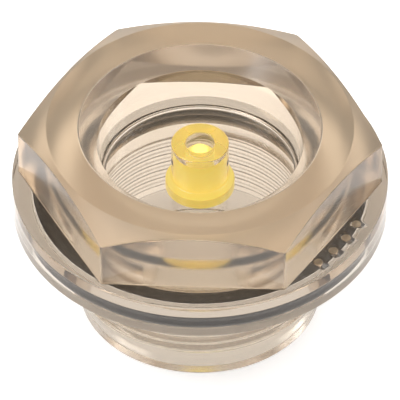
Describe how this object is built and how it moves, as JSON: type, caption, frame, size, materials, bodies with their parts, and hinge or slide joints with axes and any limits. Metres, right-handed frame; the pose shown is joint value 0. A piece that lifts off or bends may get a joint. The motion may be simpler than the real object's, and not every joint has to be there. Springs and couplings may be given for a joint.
{
  "type": "sight glass",
  "caption": "Clear plastic screw-in oil sight glass: hexagon head with a round viewing recess, flange with face seal, threaded hollow spigot and a yellow centre piece.",
  "frame": {"origin": "centre of the open end of the threaded spigot, the lowest point", "axes": "+Z along the thread axis towards the hexagon head, +X towards a corner of the hexagon"},
  "size_m": [0.0548, 0.0548, 0.0327],
  "materials": {
    "clear_plastic": "clear, slightly amber, polished window and softly frosted head",
    "black_rubber": "matte",
    "yellow_plastic": "satin"
  },
  "bodies": {
    "root": {"sight_glass_body": "clear_plastic", "flange_o_ring": "black_rubber", "indicator_plug": "yellow_plastic"}
  },
  "joints": []
}
